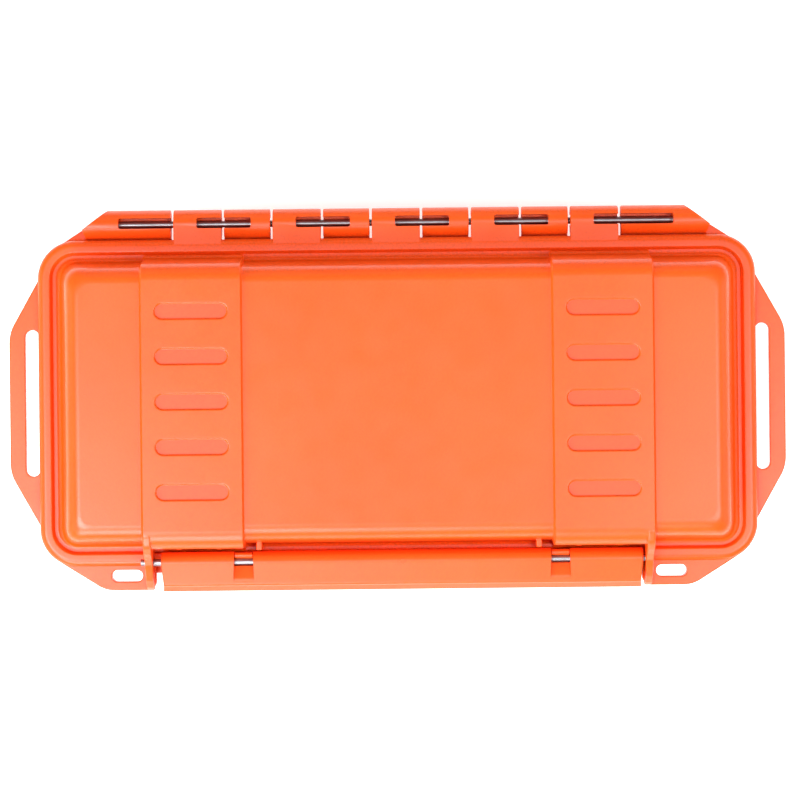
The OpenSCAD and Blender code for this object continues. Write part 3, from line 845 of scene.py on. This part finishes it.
def make_base():
    base = shell_skin("base_shell_skin", base_section, BASE_LOW, -1)
    knuckles, tops, bottoms = Solid(), Solid(), Solid()
    for i in range(-2, 2):
        x0 = (i + 0.5) * KNUCKLE_STEP - BASE_KNUCKLE / 2
        x1 = x0 + BASE_KNUCKLE
        knuckles.add(knuckle(x0, x1, -1))
        tops.add(window(x0, x0 + BASE_SLOTS[0], 1, True, False))
        bottoms.add(window(x0 + BASE_SLOTS[1], x1, -1, False, True))
    for side in (-1, 1):
        knuckles.add(end_knuckle(side))
        ends = sorted(side * x for x in END_KNUCKLE)
        tops.add(window(*ends, 1, side > 0, side < 0))
    plates, slots, braces = Solid(), Solid(), Solid()
    for part in (strap_loop, base_lug):
        for side in (-1, 1):
            plate, slot = part(side)
            plates.add(plate)
            slots.add(slot)
    for side in (-1, 1):
        braces.add(brace(side))
    plates = cut(plates.make("plates"), slots)
    boolean(base, plates, "UNION")
    join(base, knuckles, braces, catch_rail())
    cut(base, tops, bottoms, rod(BORE_R, -83.0, 100, HINGE))
    finish_shell(base, "base", "base_shell", BASE_LOW - PROUD + RECESS_DEPTH)


def latch_outline():
    """Side view of the latch bar: round back, sloping top, front wall, hook and flared lip."""
    y, z = LATCH_PIN
    outline = arc(y, z, 2.95, 270, 465, 20) + arc(-52.1, 36.1, 1.1, 105, 180, 6)
    lower = [(-53.05, 22.5), (-53.5, 19.4), (-55.6, 16.4), (-55.2, 15.5), (-54.3, 15.7),
             (-52.4, 19.2), (-51.6, 20.0), (-48.7, 20.0), (-48.4, 22.4), (-50.2, 22.4),
             (-50.2, 31.6), (-48.9, 32.9)]
    return outline + fillet([(-53.2, 30.0)] + lower + [outline[0]],
                            [0, 3, 3, 0.3, 0.3, 0.3, 1.5, 1, 0.4, 0.3, 0.4, 1, 0.5, 0], 3)[:-1]


def latch_notch(x):
    """Room for a pin cradle; its floor rises from the pin and fades out near the front edge,
    where the notch is wider."""
    outline = [(-42, 30), (-42, 41), (-53.0, 41), (-52.6, 37.4), (-50.6, 36.95), (-47.4, 36.2),
               (-47.4, 34.9), (-49.3, 34.6), (-49.3, 30)]
    outline = fillet(outline, [0, 0, 0, 0, 2, 0.15, 0.15, 0.4, 0], 3)
    half, flare = 2.7, 0.06
    notch = prism(outline, -half, half, 0, on_x)
    return notch.moved(lambda u, y, z: (x + u * (1 + max(0, -47.0 - y) * flare / half), y, z))


def make_latch():
    mid = LATCH_SHIFT
    half = LATCH_LEN / 2

    narrower, wider = 0.6, 0.7

    def taper(x, y, z):
        """Draws the ends in towards the front edge of the top, and out at the lip."""
        draw = narrower * smooth((-46.5 - y) / 6.5) * smooth((z - 18) / 12)
        draw -= wider * (1 - smooth((z - 16) / 8))
        return (mid + math.copysign(abs(x) - draw, x), y, z)

    bar = prism(latch_outline(), -half, half, 0.35, on_x)
    latch = bar.moved(taper).make("latch_bar_skin")
    notches = Solid()
    for side in (-1, 1):
        notches.add(latch_notch(mid + side * CRADLE_X))
    cut(latch, notches, rod(BORE_R, -100, 100, LATCH_PIN))
    gate = prism(circle(1.0, -46.5, 0.8, 20), 37.0, 38.62, 0.06, edges=(False, True))
    join(latch, gate)
    shade(latch)
    finish_piece(latch, "latch", "latch_bar", "orange_shell", ORANGE)


def make_pins():
    hinge = rod(PIN_R, -82.5, 82.5, HINGE, chamfer=0.2).make("hinge_pin_rod")
    finish_piece(shade(hinge), "base", "hinge_pin", "steel", PIN_STEEL)
    latch = rod(PIN_R, -EAR[1] - 0.9, EAR[1] - 0.6, LATCH_PIN, chamfer=0.2).make("latch_pin_rod")
    finish_piece(shade(latch), "lid", "latch_pin", "steel", PIN_STEEL)


make_lid()
make_base()
make_latch()
make_pins()


# ---- contents

CREPE_AXIS, CREPE_R = (-75.5, 21.7), 16.0
GAUZE_AXIS, GAUZE_R = (-41.5, 18.7), 13.0
TAPE_AXIS, TAPE_R = (-1.4, 12.5), 21.0

RUBBER = moulded_plastic("seal_silicone", (0.05, 0.05, 0.054), (0.035, 0.035, 0.038), 0.55)
FOAM = open_foam("charcoal_foam", (0.075, 0.078, 0.085), (0.02, 0.021, 0.024))
CREPE = woven("crepe_weave", (0.8, 0.62, 0.44), (0.5, 0.35, 0.22), CREPE_AXIS, CREPE_R,
              pitch=0.0011, depth=0.00022)
GAUZE = woven("gauze_weave", (0.86, 0.85, 0.81), (0.52, 0.51, 0.47), GAUZE_AXIS, GAUZE_R,
              pitch=0.0017, depth=0.0003)
TAPE = woven("tape_weave", (0.86, 0.8, 0.68), (0.66, 0.58, 0.45), TAPE_AXIS, TAPE_R,
             pitch=0.0006, depth=0.0001, along="Z", roughness=0.7)
WHITE_PLASTIC = moulded_plastic("white_plastic", (0.82, 0.82, 0.8), (0.76, 0.76, 0.74), 0.42)
BLACK_PLASTIC = moulded_plastic("black_plastic", (0.022, 0.022, 0.024), (0.016, 0.016, 0.018), 0.4)
PAPER = wrinkled("pack_paper", (0.85, 0.87, 0.88), (0.7, 0.74, 0.78), 0.62, depth=0.0003)
FOIL = wrinkled("sachet_foil", (0.62, 0.72, 0.8), (0.46, 0.56, 0.66), 0.34, metallic=0.55,
                coat=0.2)
FILM = wrinkled("glove_film", (0.1, 0.25, 0.62), (0.05, 0.13, 0.4), 0.5, coat=0.9, depth=0.001,
                scale=70)
PLASTER_PAPER = wrinkled("plaster_paper", (0.86, 0.83, 0.76), (0.72, 0.67, 0.58), 0.6,
                         depth=0.0002)
BRIGHT_STEEL = drawn_steel("bright_steel", (0.06, 1, 1))


def make_gasket_and_clips():
    """The seal and the bandage clips keep their CAD shapes."""
    for node, mat in (("gasket", RUBBER), ("bandage_clips", BRIGHT_STEEL)):
        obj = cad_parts[node]
        obj.data.materials.clear()
        obj.data.materials.append(mat)
        for slot in obj.material_slots:
            slot.material = mat


def stepped(outline, levels):
    """A solid lofted through (height, inset) levels of one outline."""
    return Solid().loft([[(u, v, z) for u, v in inset(outline, d)] for z, d in levels])


def scooped(outline, floor, top):
    """Cutter for a pocket in foam: soft at its floor and flared at its mouth."""
    return stepped(outline, [(floor, 1.2), (floor + 0.35, 0.4), (floor + 1.2, 0), (top - 1.6, 0),
                             (top - 0.8, -0.2), (top - 0.25, -0.7), (top, -1.3), (top + 1, -1.4)])


def make_foam_tray():
    top = 28.6
    outline = rounded(-94.2, 94.2, -37.8, 37.3, 5.5, 8)
    tray = stepped(outline, [(3.4, 4.2), (3.9, 3.4), (5.8, 2.2), (6.8, 0.4), (8.0, 0),
                             (top - 1.2, 0), (top - 0.4, 0.3), (top, 1.1)])
    tray = tray.make("foam_tray_insert")
    pockets = [(-92, -59, -34.4, 33.8, 5.5), (-55, -28, -34.4, 33.8, 5.5),
               (-24, 12, -34.6, -13.5, 20), (16, 90.5, -34.6, -15.5, 5.5),
               (24.5, 70, -11.5, 34, 5.5), (74, 90.5, -11.5, 34, 5.5)]
    for x0, x1, y0, y1, floor in pockets:
        cut(tray, scooped(rounded(x0, x1, y0, y1, 3.2, 7), floor, top))
    cut(tray, scooped(circle(*TAPE_AXIS, TAPE_R + 0.7, 72), 5.5, top))
    finish_piece(shade(tray, 40), "base", "foam_tray", "foam", FOAM)


def make_lid_pad():
    """Egg-crate foam: rows of soft peaks over the whole face, thin at its border."""
    half_x, y0, y1 = 90.6, -34.2, 33.8
    columns, rows = 132, 50
    pitch, peak, low, rim = 11.3, 1.65, 43.4, 43.6

    def face(i, j):
        x, y = mix(-half_x, half_x, i / columns), mix(y0, y1, j / rows)
        border = min(half_x - abs(x), y - y0, y1 - y)
        waves = math.cos(math.tau * (x + half_x) / pitch) * math.cos(math.tau * (y - y0) / pitch)
        return (x, y, mix(rim, low - peak * (0.5 - 0.5 * waves), smooth(border / 2.2)))

    solid = Solid()
    border = last = solid.grid(face, columns, rows)
    for z, shrink in ((45.0, 0.994), (45.5, 0.99), (45.7, 0.985)):
        ring = solid.ring([(solid.verts[i][0] * shrink, solid.verts[i][1] * shrink, z)
                           for i in border])
        solid.bridge(last, ring)
        last = ring
    solid.faces.append(tuple(last))
    pad = shade(solid.make("lid_pad_foam"), 60, weighted=False)
    finish_piece(pad, "lid", "lid_pad", "foam", FOAM)


def wound(axis, core, radius, low, high, pitch, thick, start, seed, place=on_y, drift=0.35):
    """A strip wound round an axis, its turns up to drift out of line with each other. Its free
    end is at start degrees."""
    wobble, turn_steps = 0.05, 48
    turns = (radius - wobble - thick - core) / pitch
    steps = int(turns * turn_steps)
    e = min(0.12, thick * 0.3)
    rings = []
    for k in range(steps + 1):
        turn = turns * k / steps
        angle = math.radians(start) - math.tau * (turns - turn)
        sway = Vector((math.cos(angle), math.sin(angle), turn * 1.7 + seed))
        r = core + pitch * turn + wobble * noise.noise(sway * 2.0)
        a = low + drift * (1 + noise.noise(sway)) / 2
        b = high - drift * (1 + noise.noise(sway + Vector((0, 0, 40)))) / 2
        section = [(r, a + e), (r + e, a), (r + thick - e, a), (r + thick, a + e),
                   (r + thick, b - e), (r + thick - e, b), (r + e, b), (r, b - e)]
        c, s = math.cos(angle), math.sin(angle)
        rings.append([place(axis[0] + q * c, axis[1] + q * s, w) for q, w in section])
    return Solid().loft(rings)


def make_rolls():
    low, high = -33.3, 32.7
    crepe = wound(CREPE_AXIS, 2.5, CREPE_R, low, high, pitch=1.02, thick=0.9, start=118, seed=3)
    gauze = wound(GAUZE_AXIS, 2.0, GAUZE_R, low, high, pitch=0.62, thick=0.5, start=75, seed=8)
    tape = wound(TAPE_AXIS, 14.05, TAPE_R, 6.1, 27.3, pitch=0.5, thick=0.46, start=250, seed=15,
                 place=on_z, drift=0.12)
    for roll, name, node, slot, mat in ((crepe, "crepe_roll", "crepe_bandage", "crepe", CREPE),
                                        (gauze, "gauze_winding", "gauze_roll", "gauze", GAUZE),
                                        (tape, "tape_winding", "adhesive_tape", "tape", TAPE)):
        finish_piece(shade(roll.make(name), 50), "base", node, slot, mat)


def make_tape_spool():
    low, high = 5.7, 27.7
    section = [(13.95, low + 0.25), (13.95, high - 0.25), (13.7, high), (12.95, high),
               (12.65, high - 0.4), (12.62, high - 4), (12.78, high - 4.6), (12.78, low + 4.6),
               (12.62, low + 4), (12.65, low + 0.4), (12.95, low), (13.7, low)]
    spool = turned(section, TAPE_AXIS, 96).make("tape_spool")
    finish_piece(shade(spool), "base", "tape_core", "white_plastic", WHITE_PLASTIC)


def pack(x0, x1, y0, y1, z0, z1, crimp, fill, seed, cells=(44, 44), pinked=0.0, swell=1.0):
    """A sealed pack that fills its box: crimped seams round a crowned, puckered middle. crimp is
    the seams' width, fill how far the sides take to rise, pinked the depth of the cut teeth at
    two edges, and swell how full the pack is."""
    columns, rows = cells
    mid, half = (z0 + z1) / 2, (z1 - z0) / 2
    skin = min(0.18, half * 0.35)
    solid = Solid()

    def point(i, j, side):
        x, y = mix(x0, x1, i / columns), mix(y0, y1, j / rows)
        edge = min(x - x0, x1 - x, y - y0, y1 - y)
        rise = math.sqrt(smooth((edge - crimp) / fill))
        creases = noise.noise(Vector((x * 0.16, y * 0.16, seed + side)))
        creases += 0.5 * noise.noise(Vector((x * 0.42, y * 0.42, seed + side * 2)))
        height = skin + (half - skin) * rise * min(1.0, 0.84 * swell + 0.2 * creases)
        seam = 1 - smooth((edge - crimp * 0.7) / (crimp * 0.3))
        curl = 0.3 * (half - skin) * noise.noise(Vector((x * 0.07, y * 0.07, seed + 9)))
        ridge = skin * 0.6 * math.sin(math.tau * edge / 1.3)
        tooth = pinked if j in (0, rows) and i % 2 else 0
        return (x, y + (tooth if j == 0 else -tooth),
                max(z0, min(z1, mid + side * height + seam * (ridge + curl))))

    solid.bridge(*[solid.grid(lambda i, j: point(i, j, side), columns, rows) for side in (-1, 1)])
    return solid


def finish_pack(solid, name, node, slot, mat):
    return finish_piece(shade(solid.make(name), 50, weighted=False), "base", node, slot, mat)


def make_packs():
    x0, x1, y0, y1 = 25.3, 69.3, -10.7, 33.3
    dressing = pack(x0, x1, y0, y1, 5.7, 14.3, crimp=5, fill=7, seed=2, pinked=0.5, swell=1.1)
    gloves = pack(x0, x1, y0, y1, 21.5, 27.5, crimp=3, fill=6, seed=31, cells=(64, 64),
                  pinked=0.4, swell=0.95)
    wipes, strips = Solid(), Solid()
    x0, x1, y0, y1 = x0 + 0.4, x1 - 0.4, y0 + 0.4, y1 - 0.4
    for k in range(4):
        z = 14.5 + 1.7 * k
        shift = 0.35 * math.sin(2.4 * k + 0.6)
        wipes.add(pack(x0 + shift, x1 + shift, y0 - shift, y1 - shift, z, z + 1.6,
                       crimp=4, fill=5, seed=20 + k, cells=(36, 36), pinked=0.5))
    for k in range(8):
        z = 5.7 + 1.15 * k
        shift = 0.4 * math.sin(1.9 * k)
        strips.add(pack(17 + shift, 89.5 + shift, -33.6 - shift * 0.6, -16.5 - shift * 0.6,
                        z, z + 1.1, crimp=2, fill=4, seed=40 + k, cells=(52, 14), pinked=0.4))
    dressing = finish_pack(dressing, "dressing_envelope", "dressing_pack", "paper_pack", PAPER)
    finish_pack(wipes, "wipe_sachet_stack", "wipe_sachets", "foil_pack", FOIL)
    gloves = finish_pack(gloves, "glove_envelope", "glove_pack", "glove_film", FILM)
    finish_pack(strips, "plaster_wrappers", "plaster_strips", "plaster_paper", PLASTER_PAPER)


def along(points, x):
    """The value at x on a line of [x, value] points."""
    for (xa, a), (xb, b) in zip(points, points[1:]):
        if x <= xb:
            return mix(a, b, (x - xa) / (xb - xa))
    return points[-1][1]


def make_tweezers():
    """Two sprung arms joined at the back, with grip ridges and slanted tips."""
    outer = [(0, 1.2), (1.2, 1.9), (26, 4.6), (52, 5.2), (70, 2.2), (72.2, 0.9)]
    inner = [(0, -0.05), (2.6, -0.05), (3.4, 0.7), (26, 3.4), (52, 4.0), (69.6, 1.0), (72.2, 0.5)]
    half = [(0, 2.6), (4, 3.4), (30, 4.0), (48, 4.0), (66, 1.7), (72.2, 1.0)]
    x0, y0, z0 = 17, -25, 19.5
    stations = sorted({0, 0.5, 1.2, 2.6, 3.4, 69.6, 72.2} | {6 + 2 * k for k in range(32)}
                      | {32 + 0.5 * k for k in range(33)})

    def arm(side):
        rings = []
        for x in stations:
            ridge = 0.16 * math.sin(math.tau * x / 2) if 32 < x < 48 else 0
            a, b, h = along(inner, x), along(outer, x) + ridge, along(half, x)
            shape = rounded(a, b, -h, h, min(0.3, (b - a) * 0.35), 3)
            rings.append([(x0 + x, y0 + side * y, z0 + z) for y, z in shape])
        return Solid().loft(rings)

    tweezers = arm(1).make("tweezers_pair")
    join(tweezers, arm(-1))
    finish_piece(shade(tweezers), "base", "tweezers", "steel", BRIGHT_STEEL)


def tube(path, r):
    """A round wire along a path, with flat ends."""
    rings = []
    for k, here in enumerate(path):
        before, after = path[max(0, k - 1)], path[min(len(path) - 1, k + 1)]
        along_path = (Vector(after) - Vector(before)).normalized()
        side = along_path.cross(Vector((0, 0, 1))).normalized()
        up = side.cross(along_path)
        rings.append([tuple(Vector(here) + side * c + up * s) for c, s in circle(0, 0, r, 12)])
    return Solid().loft(rings)


def make_safety_pins():
    """Bent wire with a coil at one end and a folded cap that holds the point at the other."""
    x0, z0, coil, wire = -20, 21.4, 1.8, 0.42
    path = [(24, coil, 0), (16, 1.9, 0), (8, 1.9, -0.1), (3, coil, -0.2)]
    path += [(-coil * math.sin(a), coil * math.cos(a), -0.35 + 0.08 * a)
             for a in [math.radians(15 * k) for k in range(37)]]
    path += [(3, -coil, 0.35), (8, -2.1, 0.2), (16, -2.1, 0.1), (24.5, -1.7, 0)]
    cap = fillet([(23.2, -2.3), (27.6, -2.9), (29, -1.8), (29, 1.8), (27.6, 2.9), (23.2, 2.3)],
                 [0.5, 1.2, 1.2, 1.2, 1.2, 0.5])
    pins = Solid()
    for y in (-30.5, -24, -17.5):
        pins.add(tube([(x0 + u, y + v, z0 + w) for u, v, w in path], wire))
        pins.add(prism([(x0 + u, y + v) for u, v in cap], 20.3, 22.5, 0.7, steps=5))
        pins.add(prism(stadium(x0 + 26, y, 3.6, 1.5), 22.3, 22.75, 0.2))
    pins = shade(pins.make("safety_pin_set"), 40)
    finish_piece(pins, "base", "safety_pins", "steel", BRIGHT_STEEL)


SCISSORS = (40.0, -1.0)
BLADE_T = 1.4
BLADE_LOW = 29.2
BLADE_HIGH = 30.7
HANDLE_MID = 31.0


def blade(mirror, z, ground):
    """A blade and its tang; ground is the sign of the face that is bevelled to the edge."""
    outline = [(46, 0.2), (44, 1.6), (20, 4.6), (2, 5.2), (-5, 4.4), (-12, 0.8), (-19, -3.4),
               (-25, -5.8), (-27.8, -6.4), (-27.8, -9.2), (-25, -8.9), (-18, -6.8), (-10, -3.8),
               (-3, -4.6), (3, -3.8), (8, -1), (44, -0.6)]
    outline = fillet(outline, [0.3, 0, 20, 6, 6, 6, 6, 2, 0.3, 0.3, 2, 6, 5, 4, 3, 2, 0], 4)
    solid = prism(outline, 0, BLADE_T, 0.12)
    face = BLADE_T if ground > 0 else 0
    heel, bevel, near = 8, 0.85, 0.2

    def place(x, y, w):
        if x > heel and y < near and abs(w - face) < near:
            w -= ground * bevel
        return (SCISSORS[0] + x, SCISSORS[1] + mirror * y, z + w)

    hole = circle(*SCISSORS, 2.05)
    return solid.moved(place), prism(hole, z - 1, z + 3)


def finger_loop(mirror):
    """A moulded ring, thick and round in section, with a shoulder over the tang."""
    outer, hole = stadium(-36, -11, 24, 17.4, 18), stadium(-36.8, -11, 17.4, 11.4, 18)
    steps = 16

    def squared(t):
        """A sine or cosine pushed out, for a fuller section than a circle."""
        return math.copysign(abs(t) ** 0.75, t)

    def place(u, v, w):
        return (SCISSORS[0] + u, SCISSORS[1] + mirror * v, w)

    rings = []
    for k in range(steps):
        a = math.tau * k / steps
        t, w = 0.5 + 0.5 * squared(math.cos(a)), HANDLE_MID + 2.1 * squared(math.sin(a))
        rings.append([place(mix(p[0], q[0], t), mix(p[1], q[1], t), w)
                      for p, q in zip(hole, outer)])
    ring = Solid().loft(rings + rings[:1], caps=False)
    shoulder = fillet([(-29.5, -3.6), (-24.2, -5.2), (-24.2, -9.6), (-28.5, -14)],
                      [1.5, 1.2, 1.2, 1.5])
    return ring, prism(shoulder, HANDLE_MID - 2, HANDLE_MID + 2, 0.9, place)


def make_scissors():
    halves = [("lower", 1, "base", BLADE_LOW, -1), ("upper", -1, "scissors", BLADE_HIGH, 1)]
    for name, mirror, body, z, ground in halves:
        solid, hole = blade(mirror, z, ground)
        piece = cut(solid.make(f"scissors_{name}_steel"), hole)
        finish_piece(shade(piece, 20), body, f"scissors_blade_{name}", "steel", BRIGHT_STEEL)
        ring, shoulder = finger_loop(mirror)
        grip = join(ring.make(f"scissors_{name}_grip"), shoulder)
        finish_piece(shade(grip), body, f"scissors_handle_{name}", "black_plastic", BLACK_PLASTIC)


def make_rivet():
    """The scissors' screw: a low slotted head, a shank and a disc below."""
    x, y = SCISSORS
    head, shank = circle(x, y, 3.0), circle(x, y, 1.98)
    slot = rounded(x - 3.4, x + 3.4, y - 0.35, y + 0.35, 0.05)
    rivet = prism(head, 32.15, 33.05, 0.4, steps=5).make("scissors_screw")
    join(rivet, prism(shank, 28.9, 32.4), prism(head, 28.7, 29.15, 0.15))
    cut(rivet, prism(slot, 32.65, 34))
    finish_piece(shade(rivet), "base", "scissors_rivet", "steel", BRIGHT_STEEL)


make_gasket_and_clips()
make_foam_tray()
make_lid_pad()
make_rolls()
make_tape_spool()
make_packs()
make_tweezers()
make_safety_pins()
make_scissors()
make_rivet()


# ---- stage, light and camera

def make_stage():
    half = 1.6
    mesh = bpy.data.meshes.new("floor")
    mesh.from_pydata([(-half, -half, 0), (half, -half, 0), (half, half, 0), (-half, half, 0)], [],
                     [(0, 1, 2, 3)])
    floor = bpy.data.objects.new("floor", mesh)
    bpy.context.scene.collection.objects.link(floor)
    mat = Finish("pale_floor")
    grain = mat.ramp(mat.noise(3, 2), 0.0, grey(0.93), 1.0, grey(0.95))
    floor.data.materials.append(mat.surface(Base_Color=grain, Roughness=0.9,
                                            Specular_IOR_Level=0.1, Emission_Color=(1, 1, 1, 1),
                                            Emission_Strength=0.52))


def area_light(name, place, target, size, power):
    data = bpy.data.lights.new(name, "AREA")
    data.shape = "RECTANGLE"
    data.size, data.size_y = size
    data.energy = power
    light = bpy.data.objects.new(name, data)
    light.location = place
    light.rotation_euler = (Vector(target) - Vector(place)).to_track_quat("-Z", "Y").to_euler()
    bpy.context.scene.collection.objects.link(light)
    return light


def make_lights():
    world = bpy.data.worlds.new("studio")
    bpy.context.scene.world = world
    world.use_nodes = True
    background = world.node_tree.nodes["Background"].inputs
    background["Color"].default_value = (1, 1, 1, 1)
    background["Strength"].default_value = 0.2
    aim = (0, 0, 0.03)
    for name, x, y, z, power in (("left", -1.4, -0.3, 0.7, 27), ("right", 1.4, -0.2, 0.7, 12),
                                 ("rear", 0, 1.5, 1.0, 6)):
        # Large lights fill the shadows without a mirror image in the glossy lid
        area_light(name, (x, y, z), aim, (1.2, 0.9), power).visible_glossy = False
    area_light("key", (-0.3, -0.9, 0.9), aim, (0.6, 0.6), 16.0)
    # The pink sheen at the left is the mirror image of this light, which lights nothing itself
    area_light("left_glow", (-0.33, -0.21, 1.0), aim, (0.26, 0.3), 7.8).visible_diffuse = False
    area_light("right_glow", (0.34, -0.12, 1.0), aim, (0.2, 0.3), 3.8)


def make_camera():
    data = bpy.data.cameras.new("camera")
    distance, frame_width = 1.10, 0.232
    aim_x, aim_y, turn = 0.00067, -0.00015, -0.61
    data.sensor_width = 36.0
    data.lens = data.sensor_width * distance / frame_width
    data.clip_start, data.clip_end = 0.05, 10
    camera = bpy.data.objects.new("camera", data)
    camera.location = (aim_x, aim_y, PART * MM + distance)
    camera.rotation_euler = (0, 0, math.radians(turn))
    bpy.context.scene.collection.objects.link(camera)
    bpy.context.scene.camera = camera


make_stage()
make_lights()
make_camera()
bpy.context.scene.view_settings.view_transform = "Standard"
